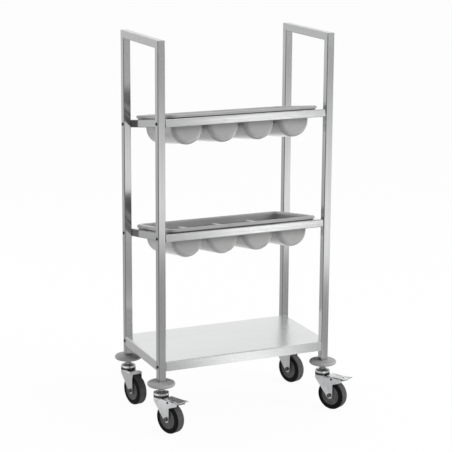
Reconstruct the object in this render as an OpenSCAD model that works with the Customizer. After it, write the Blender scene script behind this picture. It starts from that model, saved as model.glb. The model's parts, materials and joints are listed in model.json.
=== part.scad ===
// Cutlery trolley: two tubular end frames joined by sloping tray frames and a folded lower shelf,
// two lift-out cutlery trays with half-round bays, bumper discs and four swivel casters.
// Millimetres, +Z up, the long side along X, the front at -Y.
// The origin lies on the floor, midway between the four uprights.

/* [Frame] */
// Width over the end frames
frame_w = 610; // [600:1:800]
// Depth over the uprights
frame_d = 330; // [324:1:338]
// Height to the top of the push bars
frame_h = 1264; // [1150:1:1400]
// Outside size of the square tube
tube = 25; // [23:0.5:26]
// Wall of the square tube
tube_wall = 1.5; // [1:0.1:2]
// Outside corner radius of the square tube
tube_corner_r = 2.5; // [1:0.1:4]

/* [Tray frames] */
// Height of the upper tray frame at mid depth
upper_frame_z = 980; // [900:1:1060]
// Height of the middle tray frame at mid depth
middle_frame_z = 613; // [500:1:690]
// Slope of the tray frames, with the front edge higher
tray_tilt = 9; // [0:0.5:12]

/* [Lower shelf] */
// Rise of the shelf's top face above the feet of the uprights
shelf_rise = 69; // [64:1:140]
// Thickness of the shelf's sheet
shelf_sheet = 1.5; // [1:0.1:2]
// Depth of the shelf's folded edges
shelf_edge = 32; // [26:1:40]
// Outside bend radius of the folded edges
shelf_bend_r = 3; // [2.2:0.1:5]
// Gap between the shelf and the uprights
shelf_gap = 0.3; // [0.1:0.1:0.8]
// Drop of the shelf's screws below its top face
shelf_screw_drop = 18; // [14:1:18]

/* [Cutlery trays] */
// Length of a tray over its rim
tray_len = 530; // [524:1:538]
// Depth of a tray over its rim
tray_depth = 310; // [304:1:316]
// Height of a tray from the foot of its bays to the top of its rim
tray_h = 98; // [90:1:115]
// Wall of a tray
tray_wall = 3; // [2:0.1:3.5]
// Corner radius of the rim seen from above
rim_corner_r = 32; // [24:1:50]
// Height of the rim
rim_h = 13; // [12:0.5:18]
// Radius of the rim's upper outer edge
rim_edge_r = 5; // [4:0.1:6]
// Radius of the rim's upper inner edge
rim_inner_r = 8.5; // [5:0.1:10]
// Drop of the deck between the bays below the top of the rim
deck_drop = 25; // [22:0.5:28]
// Height of the rim's skirt above the rails
skirt_lift = 3.5; // [2:0.1:5]
// Rise of the dividers between the bays above the deck
divider_rise = 8; // [5:0.5:10]
// Length of a divider's level crest, front to back
divider_len = 200; // [150:1:210]
// Number of bays in a tray
bay_count = 4; // [2:1:4]
// Distance from one bay to the next
bay_pitch = 124.5; // [112:0.5:126]
// Outside radius of a bay's round floor
bay_r = 54; // [44:0.5:57]
// Outside length of a bay, front to back
bay_len = 242; // [210:1:262]
// Outside radius of the edges at a bay's ends
bay_edge_r = 16; // [8:0.5:20]

/* [Bumpers] */
// Diameter of a bumper disc
bumper_d = 91; // [70:1:110]
// Thickness of a bumper disc at its rounded edge
bumper_edge_t = 11.5; // [6:0.5:14]
// Rise of a bumper disc's faces from edge to middle
bumper_crown = 2.5; // [1:0.1:5]
// Diameter of the neck below a bumper disc
bumper_neck_d = 20; // [16:0.5:28]
// Height of the neck below a bumper disc
bumper_neck_h = 12; // [8:0.5:20]
// Depth of the pocket that holds the foot of an upright
bumper_pocket = 2; // [0.5:0.1:2.5]

/* [Wheels] */
// Diameter of a wheel
wheel_d = 100; // [90:1:125]
// Width of a tyre
tyre_w = 32; // [26:0.5:33]
// Height of the tyre's rubber above the hub
tyre_h = 18; // [12:0.5:20]
// Radius of the tyre's shoulders
tyre_shoulder_r = 6; // [4:0.5:11]
// Width of a hub between the fork's legs
hub_w = 34; // [33:0.5:40]
// Diameter of the boss at the middle of a hub
hub_boss_d = 25; // [22:0.5:32]
// Diameter of the axle bolt
axle_d = 8; // [6:0.5:10]

/* [Casters] */
// Distance from the swivel axis to the wheel's axle
trail = 43; // [38:0.5:48]
// Rest angle of the front left caster, from front towards right
front_left_angle = 22; // [-180:1:180]
// Rest angle of the front right caster
front_right_angle = 28; // [-180:1:180]
// Rest angle of the rear left caster
rear_left_angle = 12; // [-180:1:180]
// Rest angle of the rear right caster
rear_right_angle = 18; // [-180:1:180]
// Sheet thickness of the fork
fork_sheet = 2.5; // [2:0.1:3.5]
// Outside bend radius where the fork's crown turns into its legs
fork_bend_r = 6; // [4:0.5:10]
// Diameter of the swivel head
head_d = 50; // [46:0.5:56]
// Gap between the wheel and the underside of the fork's crown
crown_gap = 11; // [7.5:0.5:16]
// Diameter of the swivel's balls
ball_d = 6; // [5:0.1:7]
// Number of the swivel's balls
ball_count = 14; // [8:1:15]
// Diameter of the caster's stem
stem_d = 12; // [8:0.5:14]

/* [Brakes] */
// Distance from the swivel axis to the front edge of a pedal
pedal_reach = 109; // [104:1:120]
// Width of a pedal's blade
pedal_w = 40; // [36:0.5:48]
// Sheet thickness of a pedal
pedal_sheet = 2; // [1.5:0.1:2.5]
// Angle through which a pedal is pressed
pedal_travel = 9; // [4:0.5:10]

/* [Screws] */
// Diameter of the frame's screws
screw_d = 6; // [4:0.5:7]
// Diameter of the screws' domed heads
screw_head_d = 11.5; // [9:0.5:14]
// Height of the screws' domed heads
screw_head_h = 3.5; // [2:0.1:5]

/* [Hidden] */
$fn = 64;
lens_facets = 6 * $fn;    // for the wide arcs of the bumper discs

// Clearances
overrun = 5;              // how far a cut runs past what it cuts
seat_gap = 0.02;          // between round pieces that are fixed together
run_gap = 0.06;           // between a shaft and the bore that turns on it
side_gap = 0.5;           // between a hub and the legs beside it
rest_gap = 0.3;           // below a tray's rim where it stands on the rails
well_gap = 1.6;           // between a tray's well and the rails in front of it and behind it
screw_gap = 0.3;          // round a screw in a drilled tube
pocket_gap = 0.25;        // round the foot of an upright in its bumper

// Uprights, one at each corner
corner_names = ["front_left", "front_right", "rear_left", "rear_right"];
corner_signs = [[-1, -1], [1, -1], [-1, 1], [1, 1]];
corner_angles = [front_left_angle, front_right_angle, rear_left_angle, rear_right_angle];
braked_corners = [0, 1];
all_corners = [0:len(corner_names) - 1];
post_x = frame_w / 2 - tube / 2;
post_y = frame_d / 2 - tube / 2;
bore_corner_share = 0.4;  // tube's inside corner radius to its outside one
tube_bore = tube - 2 * tube_wall;

// Tray frames
frame_levels = ["upper", "middle"];
frame_heights = [upper_frame_z, middle_frame_z];
rail_sides = ["rear", "left", "front", "right"];
rails_w = frame_w - 2 * tube;
rails_d = (frame_d - tube * sin(tray_tilt)) / cos(tray_tilt);
rail_screw_v = post_y / cos(tray_tilt);
rail_screw_rise = post_y * tan(tray_tilt);

// Screws and rivet nuts
screw_reach = 13;         // how far a screw runs past the inside of its upright
nut_wall = 1.5;           // wall of a rivet nut
nut_bulge = 1.2;          // how far its swaged collar stands out behind the sheet
nut_bulge_h = 2.5;
nut_len = 12;
nut_r = screw_d / 2 + nut_wall;

// Rim and deck of a tray
well_depth = rails_d - 2 * tube - 2 * well_gap;
rim_w = (tray_depth - well_depth) / 2 + tray_wall;
foot_inset = 4.5;         // from the rim's skirt to the foot that stands on the rails
deck_t = tray_wall;
deck_low = rim_h - deck_drop - deck_t;
deck_len = tray_len - 2 * rim_w + tray_wall;
deck_depth = tray_depth - 2 * rim_w + tray_wall;
deck_corner_r = rim_corner_r - rim_w + tray_wall / 2;
bay_axis = rim_h - tray_h + bay_r;
divider_w = bay_pitch - 2 * bay_r;
divider_edge_share = 0.4; // radius of a divider's upper edges to its width
divider_edge_r = divider_w * divider_edge_share;

// Caster heights, from the floor up
wheel_r = wheel_d / 2;
crown_low = wheel_d + crown_gap;
crown_top = crown_low + fork_sheet;
race_h = 8;               // height of the fork's ball race above its crown
race_groove = 3;          // depth of the groove round the foot of the race
race_groove_h = 2.5;
race_top = crown_top + race_h;
ball_rise = 2.5;          // from the race's faces to the balls' centres
ball_gap = 0.15;          // between a ball and its groove
ball_z = race_top + ball_rise;
head_low = ball_z + ball_rise;
head_edge_t = 2;          // thickness of the head's edge
head_cone_h = 4;          // height of the head's coned top
head_top = head_low + head_edge_t + head_cone_h;
collar_h = 3;             // height of the stem's hexagon collar
bumper_low = head_top + collar_h;
bumper_top = bumper_low + bumper_neck_h + bumper_edge_t + 2 * bumper_crown;
post_foot = bumper_top - bumper_pocket;
shelf_z = post_foot + shelf_rise;
plug_h = 40;              // height of the plug in the foot of an upright
stem_grip = 32;           // how far the stem runs up into the plug

// Swivel head and king pin
head_r = head_d / 2;
lip_t = 2.5;              // wall of the fork's dust lip
lip_gap = 0.6;            // between the dust lip and the head
lip_over = 1;             // how far the dust lip stands above the head's underside
ball_inset = 1.5;         // from the balls to the head's edge
ball_ring_r = head_r - lip_t - lip_gap - ball_d / 2 - ball_inset;
pin_r = 7;                // radius of the king pin
pin_flange_r = 12;        // radius of the king pin's riveted end
pin_flange_h = 3.5;
collar_wall = 5;          // how far the collar stands out from the stem
collar_r = stem_d / 2 + collar_wall;

// Fork
leg_in = hub_w / 2 + side_gap;
leg_out = leg_in + fork_sheet;
leg_tip_r = 11.5;         // radius of a leg's round end
leg_back = 21;            // how far the legs reach behind the swivel axis
leg_back_drop = 4;        // height of the legs' square rear edge below the crown
crown_setback = 4;        // from the crown's front edge to the axle's reach
crown_front = trail - crown_setback;
leg_front = trail + leg_tip_r;
prong_len = 35.5;         // length of a braked fork's prongs
prong_reach = leg_front + prong_len;
prong_fall = 1;           // fall of the prongs' upper edge
prong_end_h = 9;          // height of the prongs at their ends
prong_root_h = 24;        // height of the prongs at the legs

// Axle
sleeve_wall = 4;          // wall of the sleeve round the bolt
sleeve_r = axle_d / 2 + sleeve_wall;
hex_share = 0.93;         // corner radius of a hexagon to its bolt's diameter
hex_r = axle_d * hex_share;
bolt_head_h = 5;
axle_nut_h = 7;
bolt_past_nut = 2.5;      // how far the bolt's end stands out of its nut

// Hub and tyre
hub_r = wheel_r - tyre_h;
rim_inset = 1.5;          // from the tyre's side to the hub's rim
hub_rim_w = tyre_w - 2 * rim_inset;
hub_dish = 2.5;           // from the hub's rim to its dished face
hub_face_w = hub_rim_w - 2 * hub_dish;
hub_rim_t = 4;            // height of the hub's rim
hub_step = 2;             // slope beside the rim and the boss
tyre_bead_r = 2;          // radius of the tyre's inner edges

// Brake
pin_ahead = 6;            // how far the pedal's pin lies in front of the axle
pin_s = trail + pin_ahead;
brake_pin_r = 2.5;
brake_pin_drop = 3.5;     // from the crown's underside to the pin's axis
brake_pin_z = crown_low - brake_pin_drop;
rivet_head_r = 4.5;
rivet_head_h = 1.8;
pedal_head_gap = 5;       // between the swivel head and the pedal's rear end
pedal_back = head_r + pedal_head_gap;
pedal_lift = 1.2;         // gap between the fork's crown and the pedal's rear end
pedal_rise = 0.5;         // rise of the tread plate from its rear end to its lip
pedal_lip_len = 10;       // length of the raised lip
pedal_lip_rise = 2;       // rise of the lip
pedal_hole_r = 4.5;       // hole in the tread plate
pedal_hole_inset = 25;    // from the pedal's front edge to the hole
pedal_low = crown_top + pedal_lift;
blade_gap = 2;            // between the prongs' ends and the pedal's blade
blade_back = prong_reach + blade_gap;
blade_corner_r = 3;
ear_t = 2.5;              // thickness of the ears on the pin
ear_gap = 0.5;            // between the legs and the pedal's ears and tongue
ear_r = 6;                // radius of the ears round the pin
shoe_w = 20;
shoe_ahead = 7;           // from the pin to the shoe's rear end
shoe_len = 12;
shoe_back = pin_s + shoe_ahead;
shoe_front = shoe_back + shoe_len;
shoe_gap = rest_gap + (shoe_front - trail) * sin(pedal_travel);

// Colours
steel = [0.78, 0.79, 0.80];
zinc = [0.72, 0.73, 0.75];
dark_steel = [0.35, 0.36, 0.38];
tray_grey = [0.62, 0.63, 0.64];
bumper_grey = [0.58, 0.58, 0.59];
plug_grey = [0.25, 0.25, 0.26];
hub_grey = [0.30, 0.30, 0.31];
tyre_black = [0.12, 0.12, 0.13];

function corner_nodes(piece) = [for (i = all_corners) str(corner_names[i], "_", piece)];
function braked_nodes(piece) = [for (i = braked_corners) str(corner_names[i], "_", piece)];
function rail_node(level, side) = str(frame_levels[level], "_", rail_sides[side], "_rail");

// Outlines

// Rectangle about the origin with four round corners
module rounded_rect(w, d, r) {
    square([w - 2 * r, d], center = true);
    square([w, d - 2 * r], center = true);
    for (x = [-1, 1])
        for (y = [-1, 1])
            translate([x * (w / 2 - r), y * (d / 2 - r)])
                circle(r);
}

// Rectangle standing on the x axis, with its two upper corners round
module arch_rect(w, h, left_r, right_r) {
    translate([left_r - w / 2, 0])
        square([w - left_r - right_r, h]);
    translate([-w / 2, 0])
        square([w / 2, h - left_r]);
    square([w / 2, h - right_r]);
    translate([left_r - w / 2, h - left_r])
        circle(left_r);
    translate([w / 2 - right_r, h - right_r])
        circle(right_r);
}

// Folded channel standing on the x axis, open below
module channel(w, h, sheet, left_r, right_r) {
    difference() {
        arch_rect(w, h, left_r, right_r);
        translate([0, -overrun])
            arch_rect(w - 2 * sheet, h - sheet + overrun, left_r - sheet, right_r - sheet);
    }
}

// Square tubes

module tube_section() {
    difference() {
        rounded_rect(tube, tube, tube_corner_r);
        rounded_rect(tube_bore, tube_bore, tube_corner_r * bore_corner_share);
    }
}

// Tube along z from 0 to length, with its +y side the long one where an end is mitred
module mitred_tube(length, start_mitred, end_mitred) {
    difference() {
        linear_extrude(length)
            tube_section();
        if (start_mitred)
            mirror([0, 0, 1])
                mitre_cut(0);
        if (end_mitred)
            mitre_cut(length);
    }
}

module mitre_cut(height) {
    translate([0, tube / 2, height])
        rotate([45, 0, 0])
            translate([-tube, -2 * tube, 0])
                cube([2 * tube, 2 * tube + overrun, 2 * tube]);
}

function screw_heights(i) = [
    upper_frame_z - corner_signs[i][1] * rail_screw_rise,
    middle_frame_z - corner_signs[i][1] * rail_screw_rise,
    shelf_z - shelf_screw_drop];

// Upright at one corner, drilled for its screws and mitred under the push bar
module upright(i) {
    sign = corner_signs[i];
    color(steel)
        translate([sign[0] * post_x, sign[1] * post_y, 0])
            difference() {
                translate([0, 0, post_foot])
                    rotate([0, 0, sign[1] > 0 ? 0 : 180])
                        mitred_tube(frame_h - post_foot, false, true);
                for (z = screw_heights(i))
                    translate([0, 0, z])
                        rotate([0, 90, 0])
                            cylinder(h = tube + 2 * overrun, r = screw_d / 2 + screw_gap, center = true);
            }
}

// Push bar across the top of one end frame
module push_bar(sign_x) {
    color(steel)
        translate([sign_x * post_x, -frame_d / 2, frame_h - tube / 2])
            rotate([-90, 180, 0])
                mitred_tube(frame_d, true, true);
}

// Tray frames

// Moves what is drawn about the middle of a tray frame to its place
module at_tray_frame(level) {
    translate([0, 0, frame_heights[level]])
        rotate([-tray_tilt, 0, 0])
            children();
}

// One rail of a tray frame; the end rails are drilled for their rivet nuts
module rail(level, side) {
    along = side % 2 == 0 ? rails_w : rails_d;
    out = side % 2 == 0 ? rails_d : rails_w;
    color(steel)
        at_tray_frame(level)
            rotate([0, 0, 90 * side])
                translate([0, out / 2 - tube / 2, 0])
                    difference() {
                        rotate([0, 90, 0])
                            translate([0, 0, -along / 2])
                                mitred_tube(along, true, true);
                        if (side % 2 == 1)
                            for (x = [-1, 1])
                                translate([x * rail_screw_v, tube / 2 + overrun, 0])
                                    rotate([90, 0, 0])
                                        cylinder(h = tube_wall + 2 * overrun, r = nut_r + seat_gap);
                    }
}

// Shelf

// Sheet with four folded edges and a screw tab beside each upright
module lower_shelf() {
    notch = tube + shelf_gap;
    color(steel)
        difference() {
            translate([0, 0, shelf_z - shelf_edge])
                union() {
                    rotate([90, 0, 90])
                        linear_extrude(frame_w - 2 * notch, center = true)
                            channel(frame_d, shelf_edge, shelf_sheet, shelf_bend_r, shelf_bend_r);
                    rotate([90, 0, 0])
                        linear_extrude(frame_d - 2 * notch, center = true)
                            channel(frame_w, shelf_edge, shelf_sheet, shelf_bend_r, shelf_bend_r);
                    for (sign = corner_signs)
                        translate([sign[0] * (frame_w / 2 - notch - shelf_sheet / 2), sign[1] * post_y, 0])
                            shelf_tab();
                }
            for (i = all_corners)
                translate([corner_signs[i][0] * post_x, corner_signs[i][1] * post_y, shelf_z - shelf_screw_drop])
                    rotate([0, 90, 0])
                        cylinder(h = 2 * tube, r = nut_r + seat_gap, center = true);
        }
}

module shelf_tab() {
    translate([-shelf_sheet / 2, -tube / 2 + shelf_sheet, 0])
        cube([shelf_sheet, tube - 2 * shelf_sheet, shelf_edge - shelf_sheet / 2]);
}

// Screws

// Domed screw along -x with its head's seat at x = 0
module screw(length) {
    rotate([0, 90, 0]) {
        translate([0, 0, -length])
            cylinder(h = length + screw_head_h / 2, r = screw_d / 2);
        intersection() {
            cylinder(h = screw_head_h, r = screw_head_d / 2);
            translate([0, 0, screw_head_h - dome_r(screw_head_d / 2, screw_head_h)])
                sphere(dome_r(screw_head_d / 2, screw_head_h));
        }
    }
}

// Radius of a sphere whose cap has the given rim radius and height
function dome_r(rim_r, height) = (rim_r * rim_r + height * height) / (2 * height);

// Threaded rivet nut along -x, with its wall's outer face at x = 0
module rivet_nut(wall) {
    rotate([0, -90, 0])
        difference() {
            union() {
                cylinder(h = nut_len, r = nut_r);
                translate([0, 0, wall])
                    cylinder(h = nut_bulge_h, r = nut_r + nut_bulge);
            }
            translate([0, 0, -overrun])
                cylinder(h = nut_len + 2 * overrun, r = screw_d / 2 + seat_gap);
        }
}

// Places a child at the screws of the given rows, from the top down
module at_screws(x, rows) {
    for (i = all_corners)
        for (k = rows)
            mirror([corner_signs[i][0] < 0 ? 1 : 0, 0, 0])
                translate([x, corner_signs[i][1] * post_y, screw_heights(i)[k]])
                    children();
}

module frame_screws() {
    color(dark_steel)
        at_screws(frame_w / 2, [0, 1, 2])
            screw(tube + screw_reach);
}

module rivet_nuts() {
    color(zinc) {
        at_screws(frame_w / 2 - tube, [0, 1])
            rivet_nut(tube_wall);
        at_screws(frame_w / 2 - tube - shelf_gap, [2])
            rivet_nut(shelf_sheet);
    }
}

// Feet of the uprights

module post_plugs() {
    plug_w = tube_bore - 2 * seat_gap;
    color(plug_grey)
        for (sign = corner_signs)
            translate([sign[0] * post_x, sign[1] * post_y, post_foot])
                difference() {
                    linear_extrude(plug_h)
                        rounded_rect(plug_w, plug_w, tube_corner_r * bore_corner_share);
                    translate([0, 0, -overrun])
                        cylinder(h = plug_h + 2 * overrun, r = stem_d / 2 + seat_gap);
                }
}

// Lens-shaped disc with a round edge, a neck below and a square pocket for the upright's foot
module bumper(i) {
    edge_r = bumper_edge_t / 2;
    lens_r = bumper_d / 2 - edge_r;
    dome = dome_r(lens_r, bumper_crown);
    middle = bumper_neck_h + bumper_crown + edge_r;
    half_t = edge_r + bumper_crown;
    pocket_w = tube + 2 * pocket_gap;
    color(bumper_grey)
        translate([corner_signs[i][0] * post_x, corner_signs[i][1] * post_y, bumper_low])
            difference() {
                rotate_extrude() {
                    square([bumper_neck_d / 2, middle]);
                    translate([lens_r, middle])
                        circle(edge_r);
                    translate([0, middle])
                        intersection() {
                            translate([0, -half_t])
                                square([lens_r, 2 * half_t]);
                            translate([0, half_t - dome])
                                circle(dome, $fn = lens_facets);
                            translate([0, dome - half_t])
                                circle(dome, $fn = lens_facets);
                        }
                }
                translate([0, 0, bumper_top - bumper_low - bumper_pocket])
                    linear_extrude(bumper_pocket + overrun)
                        rounded_rect(pocket_w, pocket_w, tube_corner_r);
                translate([0, 0, -overrun])
                    cylinder(h = bumper_top - bumper_low + 2 * overrun, r = stem_d / 2 + seat_gap);
            }
}

// Trays

// Runs a section round a rounded rectangle; its x = 0 follows the outline and -x points inwards
module swept_ring(length, depth, corner_r) {
    for (turn = [0:3]) {
        run = (turn % 2 == 0 ? length : depth) - 2 * corner_r;
        out = (turn % 2 == 0 ? depth : length) / 2;
        corner_x = (turn % 2 == 0 ? length : depth) / 2 - corner_r;
        rotate([0, 0, 90 * turn]) {
            translate([0, out, 0])
                rotate([90, 0, 90])
                    linear_extrude(run, center = true)
                        children();
            translate([corner_x, out - corner_r, 0])
                rotate_extrude(angle = 90)
                    translate([corner_r, 0])
                        children();
        }
    }
}

// Hooked section of the rim: short skirt outside, foot on the rails behind it, rounded top,
// inner wall down past the rails to the deck
module rim_section() {
    translate([-rim_w / 2, deck_low])
        difference() {
            channel(rim_w, rim_h - deck_low, tray_wall, rim_inner_r, rim_edge_r);
            translate([0, -overrun])
                square([rim_w, overrun + skirt_lift - deck_low]);
        }
    translate([-foot_inset - tray_wall, 0])
        square([tray_wall, rim_h - tray_wall / 2]);
}

// Trough along y with a round floor, its ends' edges rounded; drawn from its axis up to the height
module trough(r, length, edge_r, height) {
    rotate([-90, 0, 0])
        rotate_extrude(angle = 180) {
            translate([0, -length / 2])
                square([r - edge_r, length]);
            translate([0, -length / 2 + edge_r])
                square([r, length - 2 * edge_r]);
            for (y = [-1, 1])
                translate([r - edge_r, y * (length / 2 - edge_r)])
                    circle(edge_r);
        }
    linear_extrude(height)
        rounded_rect(2 * r, length, edge_r);
}

module at_bays() {
    for (k = [0:bay_count - 1])
        translate([(k - (bay_count - 1) / 2) * bay_pitch, 0, bay_axis])
            children();
}

// Low ridge along y with rounded upper edges and round ends
module divider(height) {
    rotate([90, 0, 0])
        linear_extrude(divider_len, center = true)
            arch_rect(divider_w, height, divider_edge_r, divider_edge_r);
    for (y = [-1, 1])
        translate([0, y * divider_len / 2, 0])
            rotate_extrude()
                intersection() {
                    arch_rect(divider_w, height, divider_edge_r, divider_edge_r);
                    square([divider_w, height]);
                }
}

module at_dividers() {
    for (k = [1:bay_count - 1])
        translate([(k - bay_count / 2) * bay_pitch, 0, deck_low])
            children();
}

module cutlery_tray(level) {
    deck_top = deck_low + deck_t;
    color(tray_grey)
        at_tray_frame(level)
            translate([0, 0, tube / 2 + rest_gap])
                difference() {
                    union() {
                        swept_ring(tray_len, tray_depth, rim_corner_r)
                            rim_section();
                        translate([0, 0, deck_low])
                            linear_extrude(deck_t)
                                rounded_rect(deck_len, deck_depth, deck_corner_r);
                        at_bays()
                            trough(bay_r, bay_len, bay_edge_r, deck_low - bay_axis + deck_t / 2);
                        at_dividers()
                            divider(deck_t + divider_rise);
                    }
                    at_bays()
                        trough(bay_r - tray_wall, bay_len - 2 * tray_wall, bay_edge_r - tray_wall,
                            deck_top - bay_axis + overrun);
                }
}

// Casters

// Moves what is drawn about a swivel axis, trailing towards -y, to one corner
module at_caster(i) {
    translate([corner_signs[i][0] * post_x, corner_signs[i][1] * post_y, 0])
        rotate([0, 0, corner_angles[i]])
            children();
}

// Draws a side outline, reach against height, across the caster's width
module across(width) {
    rotate([90, 0, -90])
        linear_extrude(width, center = true)
            children();
}

// Moves what is drawn about an axle along z to the wheel's axle
module at_axle() {
    translate([0, -trail, wheel_r])
        rotate([0, 90, 0])
            children();
}

module ball_groove() {
    translate([0, 0, ball_z])
        rotate_extrude()
            translate([ball_ring_r, 0])
                circle(ball_d / 2 + ball_gap);
}

// Fixed half of the swivel: upper race, king pin, hexagon collar and stem
module caster_head(i) {
    head_edge_r = head_r - lip_t - lip_gap;
    color(zinc)
        at_caster(i)
            difference() {
                union() {
                    translate([0, 0, head_low])
                        cylinder(h = head_edge_t, r = head_edge_r);
                    translate([0, 0, head_low + head_edge_t])
                        cylinder(h = head_cone_h, r1 = head_edge_r, r2 = collar_r);
                    translate([0, 0, head_top])
                        cylinder(h = collar_h, r = collar_r, $fn = 6);
                    translate([0, 0, head_top])
                        cylinder(h = post_foot + stem_grip - head_top, r = stem_d / 2);
                    translate([0, 0, crown_low - rest_gap])
                        cylinder(h = head_low - crown_low + rest_gap + head_edge_t, r = pin_r);
                    translate([0, 0, crown_low - rest_gap - pin_flange_h])
                        cylinder(h = pin_flange_h, r1 = pin_r, r2 = pin_flange_r);
                }
                ball_groove();
            }
}

module swivel_balls(i) {
    color(steel)
        at_caster(i)
            for (k = [0:ball_count - 1])
                rotate([0, 0, 360 * k / ball_count])
                    translate([ball_ring_r, 0, ball_z])
                        sphere(ball_d / 2);
}

// Point where a line from p touches the circle on its lower side
function touch_point(p, centre, r) =
    let (d = norm(centre - p))
    let (heading = atan2(centre[1] - p[1], centre[0] - p[0]) - asin(r / d))
    p + sqrt(d * d - r * r) * [cos(heading), sin(heading)];

// Side outline of a fork's leg, from the crown down to its round end at the axle
module leg_outline() {
    axle = [trail, wheel_r];
    rear = [-leg_back, crown_low - leg_back_drop];
    polygon([
        [-leg_back, crown_top],
        rear,
        touch_point(rear, axle, leg_tip_r),
        axle,
        [leg_front, wheel_r],
        [leg_front, crown_top]]);
    translate(axle)
        circle(leg_tip_r);
}

// Side outline of the prong that reaches forward beside the pedal
module prong_outline() {
    end_top = crown_top - prong_fall;
    polygon([
        [trail, crown_top],
        [trail, crown_top - prong_root_h],
        [leg_front, crown_top - prong_root_h],
        [prong_reach, end_top - prong_end_h],
        [prong_reach, end_top],
        [leg_front, crown_top]]);
}

// Groove round the foot of the ball race
module race_foot_cut() {
    translate([0, 0, crown_top])
        difference() {
            cylinder(h = race_groove_h, r = head_r + overrun);
            translate([0, 0, -overrun])
                cylinder(h = race_groove_h + 2 * overrun, r = head_r - race_groove);
        }
}

module caster_fork(i) {
    braked = len(search(i, braked_corners)) > 0;
    span = prong_reach + overrun;
    color(zinc)
        at_caster(i)
            difference() {
                union() {
                    intersection() {
                        union() {
                            translate([0, leg_back, 0])
                                rotate([90, 0, 0])
                                    linear_extrude(leg_back + crown_front)
                                        channel(2 * leg_out, crown_top, fork_sheet, fork_bend_r, fork_bend_r);
                            for (x = [-leg_out, leg_in])
                                translate([x, -span, 0])
                                    cube([fork_sheet, span - crown_front, crown_top]);
                        }
                        across(2 * leg_out + overrun) {
                            leg_outline();
                            if (braked)
                                prong_outline();
                        }
                        linear_extrude(crown_top + overrun) {
                            circle(head_r);
                            translate([-leg_out, -span])
                                square([2 * leg_out, span]);
                        }
                    }
                    translate([0, 0, crown_low])
                        cylinder(h = race_top - crown_low, r = head_r);
                    translate([0, 0, race_top])
                        difference() {
                            cylinder(h = head_low - race_top + lip_over, r = head_r);
                            cylinder(h = head_low - race_top + lip_over + overrun, r = head_r - lip_t);
                        }
                }
                ball_groove();
                race_foot_cut();
                translate([0, 0, crown_low - overrun])
                    cylinder(h = race_top - crown_low + 2 * overrun, r = pin_r + run_gap);
                at_axle()
                    cylinder(h = 2 * leg_out + 2 * overrun, r = axle_d / 2 + seat_gap, center = true);
                if (braked)
                    at_brake_pin()
                        cylinder(h = 2 * leg_out + 2 * overrun, r = brake_pin_r + seat_gap, center = true);
            }
}

// Steel sleeve that the hub turns on, clamped between the legs
module axle_sleeve(i) {
    color(steel)
        at_caster(i)
            at_axle()
                difference() {
                    cylinder(h = 2 * leg_in - 2 * seat_gap, r = sleeve_r, center = true);
                    cylinder(h = 2 * leg_in + overrun, r = axle_d / 2 + seat_gap, center = true);
                }
}

// Hexagon bolt through the fork, with its head on the -x side
module axle_bolt(i) {
    color(zinc)
        at_caster(i)
            at_axle() {
                translate([0, 0, -leg_out - bolt_head_h])
                    cylinder(h = bolt_head_h, r = hex_r, $fn = 6);
                translate([0, 0, -leg_out])
                    cylinder(h = 2 * leg_out + axle_nut_h + bolt_past_nut, r = axle_d / 2);
            }
}

module axle_nut(i) {
    color(zinc)
        at_caster(i)
            at_axle()
                translate([0, 0, leg_out])
                    difference() {
                        cylinder(h = axle_nut_h, r = hex_r, $fn = 6);
                        translate([0, 0, -overrun])
                            cylinder(h = axle_nut_h + 2 * overrun, r = axle_d / 2 + seat_gap);
                    }
}

// Dished hub with a rim under the tyre and a boss on the sleeve
module wheel_hub(i) {
    boss_r = hub_boss_d / 2;
    face = [
        [sleeve_r + run_gap, hub_w / 2],
        [boss_r - hub_step, hub_w / 2],
        [boss_r, hub_face_w / 2 + hub_step / 2],
        [hub_r - hub_rim_t - hub_step, hub_face_w / 2],
        [hub_r - hub_rim_t, hub_rim_w / 2],
        [hub_r - seat_gap, hub_rim_w / 2]];
    color(hub_grey)
        at_caster(i)
            at_axle()
                rotate_extrude()
                    polygon(concat(face, [for (k = [len(face) - 1:-1:0]) [face[k][0], -face[k][1]]]));
}

module tyre(i) {
    shoulder_x = wheel_r - tyre_shoulder_r;
    bead_x = hub_r + tyre_bead_r;
    color(tyre_black)
        at_caster(i)
            at_axle()
                rotate_extrude() {
                    translate([hub_r, -hub_rim_w / 2])
                        square([shoulder_x - hub_r, hub_rim_w]);
                    translate([bead_x, -tyre_w / 2])
                        square([shoulder_x - bead_x, tyre_w]);
                    translate([shoulder_x, -tyre_w / 2 + tyre_shoulder_r])
                        square([tyre_shoulder_r, tyre_w - 2 * tyre_shoulder_r]);
                    for (side = [-1, 1]) {
                        translate([shoulder_x, side * (tyre_w / 2 - tyre_shoulder_r)])
                            circle(tyre_shoulder_r);
                        translate([bead_x, side * (tyre_w / 2 - tyre_bead_r)])
                            circle(tyre_bead_r);
                    }
                }
}

// Brakes

module at_brake_pin() {
    translate([0, -pin_s, brake_pin_z])
        rotate([0, 90, 0])
            children();
}

// Side outline of the tread plate with its raised lip
module tread_outline() {
    lip_s = pedal_reach - pedal_lip_len;
    rise_top = pedal_low + pedal_rise;
    polygon([
        [pedal_back, pedal_low],
        [lip_s, rise_top],
        [pedal_reach, rise_top + pedal_lip_rise],
        [pedal_reach, rise_top + pedal_lip_rise + pedal_sheet],
        [lip_s, rise_top + pedal_sheet],
        [pedal_back, pedal_low + pedal_sheet]]);
}

// Side outline of the ears that carry the pedal on its pin
module ear_outline() {
    difference() {
        union() {
            translate([pin_s, brake_pin_z])
                circle(ear_r);
            translate([pin_s - ear_r, brake_pin_z])
                square([2 * ear_r, pedal_low + pedal_sheet - brake_pin_z]);
        }
        translate([pin_s, brake_pin_z])
            circle(brake_pin_r + run_gap);
    }
}

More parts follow.
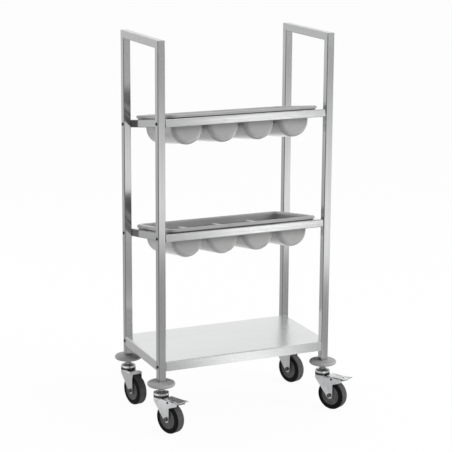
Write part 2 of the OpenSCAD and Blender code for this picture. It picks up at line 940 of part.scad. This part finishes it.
// Side outline of the shoe above the tyre
module shoe_outline() {
    difference() {
        translate([shoe_back, wheel_r])
            square([shoe_front - shoe_back, pedal_low + pedal_sheet - wheel_r]);
        translate([trail, wheel_r])
            circle(wheel_r + shoe_gap);
    }
}

// Plan of the pedal: a tongue between the prongs and a wider blade in front of them
module pedal_plan() {
    tongue_w = 2 * (leg_in - ear_gap);
    translate([-tongue_w / 2, -pedal_reach + blade_corner_r])
        square([tongue_w, pedal_reach - blade_corner_r]);
    translate([0, -(pedal_reach + blade_back) / 2])
        rounded_rect(pedal_w, pedal_reach - blade_back, blade_corner_r);
}

module brake_pedal(i) {
    color(zinc)
        at_caster(i)
            difference() {
                union() {
                    intersection() {
                        across(pedal_w)
                            tread_outline();
                        linear_extrude(bumper_low)
                            pedal_plan();
                    }
                    for (x = [-1, 1])
                        translate([x * (leg_in - ear_gap - ear_t / 2), 0, 0])
                            across(ear_t)
                                ear_outline();
                    across(shoe_w)
                        shoe_outline();
                }
                translate([0, pedal_hole_inset - pedal_reach, pedal_low - overrun])
                    cylinder(h = pedal_rise + pedal_sheet + 2 * overrun, r = pedal_hole_r);
            }
}

// Rivet through both legs that the pedal turns on
module brake_pin(i) {
    color(steel)
        at_caster(i)
            at_brake_pin() {
                cylinder(h = 2 * leg_out + rivet_head_h, r = brake_pin_r, center = true);
                for (side = [0, 1])
                    mirror([0, 0, side])
                        translate([0, 0, leg_out])
                            cylinder(h = rivet_head_h, r1 = rivet_head_r, r2 = brake_pin_r);
            }
}

// Nodes

for (i = all_corners) {
    upright(i);
    bumper(i);
    caster_head(i);
    swivel_balls(i);
    caster_fork(i);
    axle_sleeve(i);
    axle_bolt(i);
    axle_nut(i);
    wheel_hub(i);
    tyre(i);
}
for (i = braked_corners) {
    brake_pedal(i);
    brake_pin(i);
}
for (level = [0, 1])
    for (side = [0:3])
        rail(level, side);
push_bar(-1);  // left_push_bar
push_bar(1);  // right_push_bar
lower_shelf();
frame_screws();
rivet_nuts();
post_plugs();
cutlery_tray(0);  // upper_cutlery_tray
cutlery_tray(1);  // middle_cutlery_tray
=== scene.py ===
"""Looks of the cutlery trolley: materials, dust seals, floor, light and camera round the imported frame."""

import json
import math

import bmesh
import bpy
from mathutils import Matrix, Vector


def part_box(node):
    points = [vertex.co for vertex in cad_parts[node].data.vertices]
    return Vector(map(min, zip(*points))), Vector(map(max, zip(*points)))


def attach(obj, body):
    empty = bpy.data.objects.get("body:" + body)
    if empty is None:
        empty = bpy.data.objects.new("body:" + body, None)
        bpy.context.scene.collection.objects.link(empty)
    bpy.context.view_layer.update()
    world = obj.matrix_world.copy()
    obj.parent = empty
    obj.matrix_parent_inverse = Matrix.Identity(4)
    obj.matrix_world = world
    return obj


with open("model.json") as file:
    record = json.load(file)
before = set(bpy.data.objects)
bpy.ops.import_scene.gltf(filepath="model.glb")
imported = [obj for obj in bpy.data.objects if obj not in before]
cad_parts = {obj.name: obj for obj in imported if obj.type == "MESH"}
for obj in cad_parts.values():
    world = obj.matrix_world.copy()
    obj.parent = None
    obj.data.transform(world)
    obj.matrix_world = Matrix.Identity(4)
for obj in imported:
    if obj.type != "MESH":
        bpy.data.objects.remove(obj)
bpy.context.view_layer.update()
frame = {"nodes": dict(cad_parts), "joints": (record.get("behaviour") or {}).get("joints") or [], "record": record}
NODES = frame["nodes"]
JOINTS = {joint["name"]: joint for joint in frame["joints"]}
CORNERS = ("front_left", "front_right", "rear_left", "rear_right")
ALONG_X, ALONG_Y, ALONG_Z = range(3)

# Direction square to the sloping trays
TRAY_SLOPE = math.radians(9)
LEAN = Vector((0, math.sin(TRAY_SLOPE), math.cos(TRAY_SLOPE)))

# Edges sharper than these stay sharp, in degrees
NODE_CREASE, PIECE_CREASE = 28, 35


class Shader:
    """One material's node tree, with short calls for the nodes that the finishes share."""

    def __init__(self, name):
        self.material = bpy.data.materials.new(name)
        self.material.use_nodes = True
        self.tree = self.material.node_tree
        self.bsdf = self.tree.nodes["Principled BSDF"]
        self.place = self.add("ShaderNodeTexCoord").outputs["Object"]

    def add(self, kind, **settings):
        node = self.tree.nodes.new(kind)
        for key, value in settings.items():
            setattr(node, key, value)
        return node

    def link(self, source, target):
        self.tree.links.new(source, target)

    def noise(self, scale, stretch=(1, 1, 1), detail=2, shift=(0, 0, 0)):
        """Noise of the given scale per metre, drawn out along an axis by a small stretch there."""
        mapping = self.add("ShaderNodeMapping")
        mapping.inputs["Scale"].default_value = stretch
        mapping.inputs["Location"].default_value = shift
        self.link(self.place, mapping.inputs["Vector"])
        node = self.add("ShaderNodeTexNoise")
        node.inputs["Scale"].default_value = scale
        node.inputs["Detail"].default_value = detail
        self.link(mapping.outputs["Vector"], node.inputs["Vector"])
        return node.outputs["Fac"]

    def range(self, value, low, high, out_low, out_high):
        """Smooth step from out_low, where the value is low, to out_high, where it is high."""
        node = self.add("ShaderNodeMapRange", interpolation_type="SMOOTHSTEP")
        ends = {"From Min": low, "From Max": high, "To Min": out_low, "To Max": out_high}
        for key, number in ends.items():
            node.inputs[key].default_value = number
        self.link(value, node.inputs["Value"])
        return node.outputs["Result"]

    def spread(self, noise, out_low=0, out_high=1):
        """The middle part of a noise, drawn out to the given range."""
        return self.range(noise, 0.3, 0.7, out_low, out_high)

    def math(self, kind, a, b=0):
        node = self.add("ShaderNodeMath", operation=kind)
        for socket, value in zip(node.inputs, (a, b)):
            if isinstance(value, (int, float)):
                socket.default_value = value
            else:
                self.link(value, socket)
        return node.outputs[0]

    def mix(self, factor, a, b):
        """Colour between a and b, each a colour or another node's output."""
        node = self.add("ShaderNodeMix", data_type="RGBA")
        self.link(factor, node.inputs[0])
        for socket, value in ((node.inputs[6], a), (node.inputs[7], b)):
            if isinstance(value, tuple):
                socket.default_value = (*value, 1)
            else:
                self.link(value, socket)
        return node.outputs[2]

    def coordinate(self, axis):
        """A point's X, Y or Z in the frame, with the part at rest."""
        node = self.add("ShaderNodeSeparateXYZ")
        self.link(self.place, node.inputs["Vector"])
        return node.outputs[axis]

    def vector(self, kind, a, b):
        node = self.add("ShaderNodeVectorMath", operation=kind)
        self.link(a, node.inputs[0])
        node.inputs[1].default_value = b
        return node.outputs

    def along(self, origin, axis):
        """Distance of a point from the origin along the axis."""
        offset = self.vector("SUBTRACT", self.place, origin)["Vector"]
        return self.vector("DOT_PRODUCT", offset, axis)["Value"]

    def radius(self, origin, axis):
        """Distance of a point from the axis through the origin."""
        offset = self.vector("SUBTRACT", self.place, origin)["Vector"]
        across = self.vector("CROSS_PRODUCT", offset, axis)["Vector"]
        return self.vector("LENGTH", across, (0, 0, 0))["Value"]

    def normal(self, axis):
        geometry = self.add("ShaderNodeNewGeometry")
        split = self.add("ShaderNodeSeparateXYZ")
        self.link(geometry.outputs["True Normal"], split.inputs["Vector"])
        return split.outputs[axis]

    def corner(self, axis):
        """1 on the rounded corners of a square tube along the axis, 0 on its flats."""
        a, b = (self.normal(k) for k in range(3) if k != axis)
        product = self.math("ABSOLUTE", self.math("MULTIPLY", a, b))
        return self.range(product, 0.2, 0.36, 0, 1)

    def gaps(self, reach):
        """1 in gaps narrower than the reach, 0 on open faces."""
        node = self.add("ShaderNodeAmbientOcclusion")
        node.inputs["Distance"].default_value = reach
        return self.range(node.outputs["AO"], 0.25, 0.7, 1, 0)

    def bump(self, value, strength, depth):
        node = self.add("ShaderNodeBump")
        node.inputs["Strength"].default_value = strength
        node.inputs["Distance"].default_value = depth
        self.link(value, node.inputs["Height"])
        self.link(node.outputs["Normal"], self.bsdf.inputs["Normal"])

    def close(self, base, rough, **constants):
        """The material, with this colour and roughness, and constants on other sockets of the shader."""
        self.link(base, self.bsdf.inputs["Base Color"])
        self.link(rough, self.bsdf.inputs["Roughness"])
        for key, value in constants.items():
            self.bsdf.inputs[key.replace("_", " ")].default_value = value
        return self.material


def shade(colour, share):
    return tuple(min(1.0, c * share) for c in colour)


# Brushed steel: how far the grain is drawn out, and where the painted shadow at the rails' ends and the weld marks
# fade, in metres
BRUSH_STRETCH = 0.012
END_SHADOW_START, END_SHADOW_FULL = 0.0028, 0.0018
WELD_BELOW, WELD_ABOVE = 0.012, 0.004
# Shares of the colour in the painted shade on rounded corners, on faces turned down and at the long rails' ends
CORNER_SHADE, UNDERSIDE_SHADE, END_SHADOW_SHADE = 0.45, 0.22, 0.15


def brushed(name, colour, axis, rough, corners=True, weld_above=None, painted_shade_below=False, shadowed_end=None):
    """Brushed steel: grain along an axis, weld marks, rougher corners with painted shade, painted shade on faces
    turned down and painted shadow at the long rails' ends.
    """
    s = Shader(name)
    stretch = [1.0, 1.0, 1.0]
    stretch[axis] = BRUSH_STRETCH
    fine = s.noise(2600, stretch, detail=3)
    streak = s.noise(260, stretch, shift=(3, 7, 5))
    cloud = s.noise(3.5, shift=(2, 4, 9))
    base = s.mix(s.spread(streak), shade(colour, 0.95), shade(colour, 1.03))
    base = s.mix(s.range(cloud, 0.35, 0.7, 0, 0.5), base, shade(colour, 0.93))
    rough_map = s.range(fine, 0.25, 0.75, rough - 0.03, rough + 0.05)
    if corners:
        # Painted shade: the rounded corners are made darker, as well as rougher
        rolled = s.corner(axis)
        base = s.mix(rolled, base, shade(colour, CORNER_SHADE))
        rough_map = s.math("ADD", rough_map, s.math("MULTIPLY", rolled, 0.08))
    # Painted shade: faces turned down are made darker
    if painted_shade_below:
        base = s.mix(s.range(s.normal("Z"), -0.9, -0.6, 1, 0), base, shade(colour, UNDERSIDE_SHADE))
    # Painted shadow: the long rails darken over their last few millimetres, where they meet the uprights
    if shadowed_end is not None:
        reach = s.math("ABSOLUTE", s.coordinate("X"))
        end_shadow = s.range(reach, shadowed_end - END_SHADOW_START, shadowed_end - END_SHADOW_FULL, 0, 0.8)
        base = s.mix(end_shadow, base, shade(colour, END_SHADOW_SHADE))
    if weld_above is not None:
        patch = s.noise(160, detail=3, shift=(1, 2, 3))
        zone = s.range(s.coordinate("Z"), weld_above - WELD_BELOW, weld_above + WELD_ABOVE, 0, 1)
        marks = s.math("MULTIPLY", zone, s.range(patch, 0.42, 0.62, 0, 1))
        base = s.mix(marks, base, shade(colour, 0.9))
        rough_map = s.math("ADD", rough_map, s.math("MULTIPLY", marks, 0.05))
    s.bump(fine, strength=0.06, depth=0.0001)
    return s.close(base, rough_map, Metallic=1.0)


# Plated steel: how fast a band of painted shade ends below and above, and how far painted shade reaches out of
# gaps, in metres
BAND_FADE_IN, BAND_FADE_OUT, PLATE_GAP_REACH = 0.0004, 0.0006, 0.005
# Shares of the colour in the painted shade of the band and of gaps, and in the rolled streaks
BAND_PAINTED_SHADE, PLATE_GAP_SHADE, STREAK_SHADE = 0.1, 0.12, 0.3
LIP_POLISH = 0.3


def plated(name, colour, rough, grain, shade_band=None, streaks=0.0):
    """Plated steel: crystals, clouds, scuffs, rolled streaks, painted shade in gaps and in a band, and polish
    above the band.
    """
    s = Shader(name)
    crystal = s.noise(grain, detail=3)
    cloud = s.noise(45, detail=3, shift=(5, 1, 8))
    scuff = s.noise(420, (1, 0.25, 1), detail=4, shift=(9, 2, 4))
    base = s.mix(s.range(crystal, 0.35, 0.65, 0, 1), shade(colour, 0.9), shade(colour, 1.06))
    base = s.mix(s.range(cloud, 0.45, 0.7, 0, 0.55), base, shade(colour, 0.8))
    base = s.mix(s.range(scuff, 0.66, 0.78, 0, 0.5), base, shade(colour, 0.62))
    rough_map = s.spread(cloud, rough - 0.07, rough + 0.1)
    if streaks:
        drawn = s.noise(170, (1, 0.08, 1), shift=(6, 8, 3))
        base = s.mix(s.range(drawn, 0.42, 0.6, 0, streaks), base, shade(colour, STREAK_SHADE))
    # Painted shade: a dark band on the fork below its lip, with smoother steel above it
    if shade_band:
        low, high = shade_band
        level = s.coordinate("Z")
        band_mask = s.math("MULTIPLY", s.range(level, low, low + BAND_FADE_IN, 0, 1),
                        s.range(level, high, high + BAND_FADE_OUT, 1, 0))
        base = s.mix(band_mask, base, shade(colour, BAND_PAINTED_SHADE))
        rough_map = s.math("MULTIPLY", rough_map, s.range(level, high, high + BAND_FADE_OUT, 1, LIP_POLISH))
    # Painted shade: the colour darkens in narrow gaps
    base = s.mix(s.gaps(PLATE_GAP_REACH), base, shade(colour, PLATE_GAP_SHADE))
    s.bump(crystal, strength=0.15, depth=0.0001)
    return s.close(base, rough_map, Metallic=1.0)


# Depths below a tray's rim between which the tops of its dividers lie, each with its fade, in metres
DIVIDER_LOW, DIVIDER_HIGH = (0.021, 0.0185), (0.0165, 0.0155)
# Shares of the colour in the painted highlight on the divider tops and in the painted shade of gaps
DIVIDER_HIGHLIGHT, MOULD_GAP_SHADE = 1.9, 0.1


def moulded(name, colour, rough, pebble, depth, gap_shade=0.0, glossy_below=False, rim=None):
    """Moulded plastic: pebbles, clouds, specks, a glossy underside, painted shade in gaps and painted highlights
    on the divider tops.
    """
    s = Shader(name)
    grain = s.noise(pebble)
    cloud = s.noise(14, detail=3, shift=(4, 6, 2))
    speck = s.noise(700, (1, 1, 0.3), detail=3, shift=(8, 3, 1))
    base = s.mix(s.spread(cloud), shade(colour, 0.94), shade(colour, 1.05))
    base = s.mix(s.range(speck, 0.7, 0.82, 0, 0.35), base, shade(colour, 1.35))
    gloss = {}
    if glossy_below:
        below = s.range(s.normal("Z"), -0.05, 0.12, 1, 0)
        s.link(below, s.bsdf.inputs["Sheen Weight"])
        s.link(below, s.bsdf.inputs["Coat Weight"])
        gloss = dict(Sheen_Roughness=0.3, Coat_Roughness=0.2, Coat_IOR=1.8)
    # Painted highlight: upward faces on the divider tops are made much lighter
    if rim is not None:
        level = s.along((0, 0, 0), LEAN)
        ridge = s.math("MULTIPLY", s.range(level, *(rim - down for down in DIVIDER_LOW), 0, 1),
                       s.range(level, *(rim - down for down in DIVIDER_HIGH), 1, 0))
        upward = s.range(s.normal("Z"), 0.3, 0.8, 0, 1)
        base = s.mix(s.math("MULTIPLY", ridge, upward), base, shade(colour, DIVIDER_HIGHLIGHT))
    # Painted shade: the colour darkens in narrow gaps, such as under the rim and between parts
    if gap_shade:
        base = s.mix(s.gaps(gap_shade), base, shade(colour, MOULD_GAP_SHADE))
    s.bump(grain, strength=0.25, depth=depth)
    return s.close(base, s.spread(grain, rough - 0.06, rough + 0.07), Specular_IOR_Level=0.5, **gloss)


# Tyres: half width over which the tread fades to the wall, radius of the bead, half width of the mould line
TREAD_EDGE, BEAD_EDGE, MOULD_LINE = (0.0098, 0.0150), (0.0331, 0.0338), (0.0002, 0.0006)
WALL_BLACK, BEAD_GREY = (0.005, 0.005, 0.006), (0.085, 0.085, 0.087)
DUST_DARK, DUST_LIGHT = (0.060, 0.060, 0.062), (0.086, 0.086, 0.088)
WALL_GLOSS, TREAD_GLOSS = 0.12, 0.3


def rubber(name, centre, axis):
    """Tyre rubber: black walls, greyer at the hub, and a dusty tread with a fine mould line."""
    s = Shader(name)
    offset = s.math("ABSOLUTE", s.along(centre, axis))
    grain = s.noise(900, detail=3)
    dust = s.noise(120, detail=4, shift=(2, 5, 1))
    tread = s.range(offset, *TREAD_EDGE, 1, 0)
    wall = s.mix(s.range(s.radius(centre, axis), *BEAD_EDGE, 1, 0), WALL_BLACK, BEAD_GREY)
    base = s.mix(tread, wall, s.mix(s.spread(dust), DUST_DARK, DUST_LIGHT))
    line = s.range(offset, *MOULD_LINE, 1, 0)
    s.bump(s.math("ADD", s.math("MULTIPLY", grain, 0.35), line), strength=0.35, depth=0.00025)
    s.link(s.range(tread, 0, 1, WALL_GLOSS, TREAD_GLOSS), s.bsdf.inputs["Specular IOR Level"])
    return s.close(base, s.spread(grain, 0.5, 0.68))


HUB_DARK, HUB_LIGHT = (0.092, 0.092, 0.094), (0.124, 0.124, 0.126)


def hub_finish(name):
    """Dark hub plastic, cloudy and finely pebbled."""
    s = Shader(name)
    grain = s.noise(1200)
    cloud = s.noise(60, detail=3, shift=(3, 3, 7))
    s.bump(grain, strength=0.2, depth=0.00015)
    return s.close(s.mix(s.spread(cloud), HUB_DARK, HUB_LIGHT), s.spread(grain, 0.42, 0.56),
                   Specular_IOR_Level=0.4)


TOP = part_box("left_push_bar")[1].z
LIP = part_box("front_left_caster_fork")[1].z
RAIL_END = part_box("upper_front_rail")[1].x
WELDS = TOP - 0.03
# Heights of the band of painted shade on the forks, below their lips
FORK_SHADE_BAND = (LIP - 0.0138, LIP - 0.0064)
STEEL = (0.62, 0.623, 0.627)
SHELF_STEEL = shade(STEEL, 1.3)
TRAY_GREY = (0.335, 0.335, 0.333)
FINISHES = {
    "post": brushed("steel_posts", STEEL, ALONG_Z, rough=0.15, weld_above=WELDS),
    "bar": brushed("steel_bars", STEEL, ALONG_Y, rough=0.15, weld_above=WELDS),
    "long_rail": brushed("steel_long_rails", STEEL, ALONG_X, rough=0.19, corners=False, shadowed_end=RAIL_END),
    "side_rail": brushed("steel_side_rails", STEEL, ALONG_Y, rough=0.09),
    "shelf": brushed("steel_shelf", SHELF_STEEL, ALONG_X, rough=0.27, corners=False, painted_shade_below=True),
    "zinc": plated("zinc_plate", (0.80, 0.805, 0.815), rough=0.34, grain=1500, shade_band=FORK_SHADE_BAND),
    # The swivel heads' darker colour is painted reflection of the dark undersides of the bumpers above them
    "head": plated("head_zinc", (0.45, 0.452, 0.46), rough=0.26, grain=1500),
    "bolt": plated("bolt_steel", (0.13, 0.13, 0.135), rough=0.36, grain=1800),
    "hub": hub_finish("hub_plastic"),
    "pedal": plated("pedal_zinc", (0.84, 0.845, 0.85), rough=0.24, grain=1200, streaks=0.5),
    "bearing": plated("bearing_steel", (0.60, 0.60, 0.61), rough=0.22, grain=2200),
    "screw": plated("screw_steel", (0.06, 0.06, 0.063), rough=0.34, grain=2000),
    "bumper": moulded("bumper_plastic", (0.350, 0.350, 0.355), rough=0.62, pebble=1100, depth=0.00018),
    "plug": moulded("plug_plastic", (0.05, 0.05, 0.052), rough=0.55, pebble=1300, depth=0.0001),
    "seal": moulded("seal_rubber", (0.012, 0.012, 0.013), rough=0.6, pebble=1600, depth=0.0001),
}
SLOT_FINISH = {
    "zinc_steel": "zinc", "bearing_steel": "bearing", "screw_steel": "screw", "bumper_plastic": "bumper",
    "plug_plastic": "plug", "stainless_sheet": "shelf", "stainless_tube": "long_rail", "hub_plastic": "hub",
}
# Nodes, by the end of their name, that look different from the rest of their slot
NODE_FINISH = {
    "_upright": "post", "_push_bar": "bar", "_left_rail": "side_rail", "_right_rail": "side_rail",
    "_brake_pedal": "pedal", "_caster_head": "head", "_axle_bolt": "bolt", "_axle_nut": "bolt",
    "_brake_pin": "bolt",
}


def finish_of(node, slot):
    if slot == "tyre_rubber":
        joint = JOINTS[node.rsplit("_", 1)[0] + "_wheel_roll"]
        return rubber(node + "_finish", joint["pos_m"], joint["axis"])
    if slot == "tray_plastic":
        rim = max(LEAN.dot(vertex.co) for vertex in NODES[node].data.vertices)
        return moulded(node + "_finish", TRAY_GREY, rough=0.18, pebble=1400, depth=0.00003, gap_shade=0.009,
                       glossy_below=True, rim=rim)
    kind = next((kind for end, kind in NODE_FINISH.items() if node.endswith(end)), SLOT_FINISH.get(slot))
    return FINISHES[kind]


def smooth_by_angle(obj, degrees):
    for polygon in obj.data.polygons:
        polygon.use_smooth = True
    obj.data.set_sharp_from_angle(angle=math.radians(degrees))


for part in frame["record"]["subparts"]:
    node = NODES[part["node"]]
    node.data.materials.clear()
    node.data.materials.append(finish_of(part["node"], part["material_slot"]))
    smooth_by_angle(node, NODE_CREASE)


def piece(name, mesh, body, finish):
    obj = bpy.data.objects.new(name, mesh)
    bpy.context.scene.collection.objects.link(obj)
    mesh.materials.append(FINISHES[finish])
    smooth_by_angle(obj, PIECE_CREASE)
    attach(obj, body)


def ring_mesh(name, centre, section, steps):
    """Mesh of a section, given as radius and height pairs, turned round an upright axis."""
    bm = bmesh.new()
    loops = []
    for k in range(steps):
        turn = 2 * math.pi * k / steps
        loops.append([bm.verts.new((centre[0] + r * math.cos(turn), centre[1] + r * math.sin(turn), z))
                      for r, z in section])
    for k in range(steps):
        a, b = loops[k], loops[(k + 1) % steps]
        for i in range(len(section)):
            j = (i + 1) % len(section)
            bm.faces.new((a[i], b[i], b[j], a[j]))
    bmesh.ops.recalc_face_normals(bm, faces=bm.faces)
    mesh = bpy.data.meshes.new(name)
    bm.to_mesh(mesh)
    bm.free()
    return mesh


def oval_section(radius, height, half_w, half_h, steps):
    turns = [2 * math.pi * k / steps for k in range(steps)]
    return [(radius + half_w * math.cos(turn), height + half_h * math.sin(turn)) for turn in turns]


# Dust seals between the swivel heads and the forks' lips, in metres
SEAL_RADIUS, SEAL_BELOW_LIP = 0.0222, 0.0006
SEAL_HALF_WIDTH, SEAL_HALF_HEIGHT = 0.0003, 0.0009
SECTION_STEPS, RING_STEPS = 10, 72
for corner in CORNERS:
    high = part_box(corner + "_caster_fork")[1]
    x, y, _ = JOINTS[corner + "_swivel_turn"]["pos_m"]
    section = oval_section(SEAL_RADIUS, high.z - SEAL_BELOW_LIP, SEAL_HALF_WIDTH, SEAL_HALF_HEIGHT,
                           SECTION_STEPS)
    seal = ring_mesh(corner + "_dust_seal", (x, y), section, RING_STEPS)
    piece(corner + "_dust_seal", seal, corner + "_swivel", "seal")


class Stage:
    """Node tree of the floor or the world, with calls for the few nodes they use."""

    def __init__(self, tree):
        self.tree = tree
        tree.nodes.clear()
        self.path = tree.nodes.new("ShaderNodeLightPath").outputs

    def node(self, kind, inputs, operation=None):
        node = self.tree.nodes.new(kind)
        if operation:
            node.operation = operation
        for key, value in inputs.items():
            if isinstance(value, bpy.types.NodeSocket):
                self.tree.links.new(value, node.inputs[key])
            else:
                node.inputs[key].default_value = value
        return node.outputs

    def math(self, operation, a, b):
        return self.node("ShaderNodeMath", {0: a, 1: b}, operation)[0]

    def ramp(self, value, low, high, out_low, out_high):
        inputs = {"Value": value, "From Min": low, "From Max": high, "To Min": out_low, "To Max": out_high}
        return self.node("ShaderNodeMapRange", inputs)["Result"]

    def near(self, position, place, reach, inside, outside):
        """The inside value round a place, which passes to the outside value over the reach, near to far."""
        distance = self.node("ShaderNodeVectorMath", {0: position, 1: place}, "DISTANCE")["Value"]
        return self.ramp(distance, *reach, inside, outside)

    def blend(self, factor, a, b):
        return self.math("ADD", self.math("MULTIPLY", a, self.math("SUBTRACT", 1.0, factor)),
                         self.math("MULTIPLY", b, factor))

    def split(self, vector):
        return self.node("ShaderNodeSeparateXYZ", {"Vector": vector})

    def glow(self, strength, kind="ShaderNodeEmission"):
        return self.node(kind, {"Color": (1, 1, 1, 1), "Strength": strength})[0]

    def mirror_rays(self):
        return self.math("MAXIMUM", self.path["Is Glossy Ray"], self.path["Is Transmission Ray"])

    def mix(self, factor, a, b):
        return self.node("ShaderNodeMixShader", {"Fac": factor, 1: a, 2: b})[0]

    def close(self, kind, shader):
        self.node(kind, {"Surface": shader})


FLOOR_HALF_SIDE, FLOOR_GRID = 40, 8
FLOOR_COLOUR = (0.8, 0.8, 0.8, 1)
WHITE = 1.0
# Share of plain white that the camera sees on the floor; the rest carries the shadow
CAMERA_WHITE = 0.95

# The invented room that only mirror rays see: strengths of the floor's glow, and its places in metres.
# In front of the part a bright pool begins along a slanted line and fades with distance.
FRONT_GLOW, POOL_GLOW, POOL_FAR_GLOW = 0.44, 1.2, 0.31
POOL_SLANT, POOL_EDGE, POOL_FADE = 1.76, (3.25, 3.95), (2.6, 8.6)
SPOT_PLACE, SPOT_REACH, SPOT_GLOW = (0.27, -0.75, 0), (0.05, 0.31), 1.85
# Where the photographer would stand it is dark
STAND_PLACE, STAND_REACH, STAND_SHARE = (-2.0, -4.2, 0), (1.6, 2.4), 0.08
# Behind the part it is brighter at the right and far away
BACK_GLOW, BACK_RIGHT_GLOW, BACK_FAR_GLOW = 0.48, 1.0, 0.76
BACK_RIGHT, BACK_FADE, FRONT_TO_BACK = (0.1, 0.8), (0.5, 8.0), (-0.2, 0.2)
# Bright patches beside and below the part: place, reach, and the glow inside and outside
PATCHES = (((-0.8, -0.05, 0), (0.1, 0.75), 1.0, 0.0), ((0.05, -0.2, 0), (0.1, 0.5), 0.66, 0.0))


def stage_floor():
    """White floor with the part's shadow, which shows the invented room to mirror rays."""
    bm = bmesh.new()
    bmesh.ops.create_grid(bm, x_segments=FLOOR_GRID, y_segments=FLOOR_GRID, size=FLOOR_HALF_SIDE)
    mesh = bpy.data.meshes.new("floor")
    bm.to_mesh(mesh)
    bm.free()
    floor = bpy.data.objects.new("floor", mesh)
    bpy.context.scene.collection.objects.link(floor)
    material = bpy.data.materials.new("floor_white")
    material.use_nodes = True
    s = Stage(material.node_tree)
    position = s.node("ShaderNodeNewGeometry", {})["Position"]
    place = s.split(position)
    ahead = s.math("MULTIPLY", place["Y"], -1.0)
    slanted = s.math("ADD", ahead, s.math("MULTIPLY", place["X"], POOL_SLANT))
    pool = s.math("MINIMUM", s.ramp(slanted, *POOL_EDGE, FRONT_GLOW, POOL_GLOW),
                  s.ramp(ahead, *POOL_FADE, POOL_GLOW, POOL_FAR_GLOW))
    pool = s.math("MAXIMUM", pool, s.near(position, SPOT_PLACE, SPOT_REACH, SPOT_GLOW, FRONT_GLOW))
    front = s.math("MULTIPLY", pool, s.near(position, STAND_PLACE, STAND_REACH, STAND_SHARE, 1.0))
    back = s.math("MAXIMUM", s.ramp(place["X"], *BACK_RIGHT, BACK_GLOW, BACK_RIGHT_GLOW),
                  s.ramp(place["Y"], *BACK_FADE, BACK_GLOW, BACK_FAR_GLOW))
    seen = s.blend(s.ramp(place["Y"], *FRONT_TO_BACK, 0.0, 1.0), front, back)
    for patch in PATCHES:
        seen = s.math("MAXIMUM", seen, s.near(position, *patch))
    paper = s.node("ShaderNodeBsdfDiffuse", {"Color": FLOOR_COLOUR})[0]
    shader = s.mix(s.mirror_rays(), paper, s.glow(seen))
    shader = s.mix(s.math("MULTIPLY", s.path["Is Camera Ray"], CAMERA_WHITE), shader, s.glow(WHITE))
    s.close("ShaderNodeOutputMaterial", shader)
    mesh.materials.append(material)


# The dome's light from left to right, and what mirror rays see of it from front to back.
# The ramps are over parts of a direction, from -1 to 1.
DOME_SIDES, DOME_LEFT, DOME_RIGHT = (-0.8, 0.5), 0.4, 0.9
SEEN_DEPTH, SEEN_FRONT, SEEN_BACK = (-0.9, 0.6), 0.5, 0.95
# Mirror rays find it dimmest, at the least share, low down at the front left
LIT_BACK, LIT_HIGH, LIT_RIGHT, LIT_LEAST = (-0.35, -0.05), (0.1, 0.25), (-0.75, -0.3), 0.25


def studio_world():
    """Soft dome, dimmer at the left; mirror rays see it brighter behind and dim at the front left."""
    world = bpy.data.worlds.new("studio")
    bpy.context.scene.world = world
    world.use_nodes = True
    s = Stage(world.node_tree)
    direction = s.split(s.node("ShaderNodeTexCoord", {})["Generated"])
    lit = s.math("MAXIMUM", s.ramp(direction["Y"], *LIT_BACK, 0.0, 1.0),
                 s.ramp(direction["Z"], *LIT_HIGH, 0.0, 1.0))
    lit = s.math("MAXIMUM", lit, s.ramp(direction["X"], *LIT_RIGHT, LIT_LEAST, 1.0))
    seen = s.math("MULTIPLY", s.ramp(direction["Y"], *SEEN_DEPTH, SEEN_FRONT, SEEN_BACK), lit)
    soft = s.ramp(direction["X"], *DOME_SIDES, DOME_LEFT, DOME_RIGHT)
    soft, seen, white = (s.glow(strength, "ShaderNodeBackground") for strength in (soft, seen, WHITE))
    shader = s.mix(s.mirror_rays(), soft, seen)
    shader = s.mix(s.path["Is Camera Ray"], shader, white)
    s.close("ShaderNodeOutputWorld", shader)


def softbox(name, place, target, size, watts, mirrored=True):
    light = bpy.data.lights.new(name, "AREA")
    light.shape = "RECTANGLE"
    light.size, light.size_y = size
    light.energy = watts
    lamp = bpy.data.objects.new(name, light)
    lamp.location = place
    lamp.visible_glossy = mirrored
    lamp.rotation_euler = (Vector(target) - Vector(place)).to_track_quat("-Z", "Y").to_euler()
    bpy.context.scene.collection.objects.link(lamp)


stage_floor()
studio_world()
softbox("key_softbox", place=(4.0, -3.8, 2.8), target=(0, 0, 0.6), size=(2.0, 2.0), watts=185, mirrored=False)
softbox("top_softbox", place=(0.2, 0.6, 4.2), target=(0, 0, 0.6), size=(3.6, 3.6), watts=42)
softbox("left_softbox", place=(-2.4, 2.4, 0.5), target=(0, 0, 0.7), size=(1.2, 0.8), watts=46, mirrored=False)
softbox("front_panel", place=(3.3, -7.2, 1.4), target=(0.1, 0, 0.9), size=(0.75, 1.8), watts=8.3)

# Camera, fitted to the photograph's uprights, rails, shelf and wheels
PLACE = (-2.069896, -4.675834, 1.837833)
YAW, PITCH, ROLL = (math.radians(a) for a in (-23.884, -13.414, 0.329))
FOCAL_PX, IMAGE_PX, SENSOR_MM = 1584.377, 452, 36
CLIP_END = 200


def photo_camera():
    data = bpy.data.cameras.new("photo_camera")
    data.sensor_width = SENSOR_MM
    data.lens = FOCAL_PX / IMAGE_PX * SENSOR_MM
    data.clip_end = CLIP_END
    camera = bpy.data.objects.new("photo_camera", data)
    forward = Vector((-math.sin(YAW) * math.cos(PITCH), math.cos(YAW) * math.cos(PITCH), math.sin(PITCH)))
    level = Vector((math.cos(YAW), math.sin(YAW), 0))
    upright = level.cross(forward)
    right = math.cos(ROLL) * level + math.sin(ROLL) * upright
    up = -math.sin(ROLL) * level + math.cos(ROLL) * upright
    turn = Matrix((right, up, -forward)).transposed().to_4x4()
    camera.matrix_world = Matrix.Translation(PLACE) @ turn
    bpy.context.scene.collection.objects.link(camera)
    bpy.context.scene.camera = camera


photo_camera()
bpy.context.scene.view_settings.view_transform = "Standard"
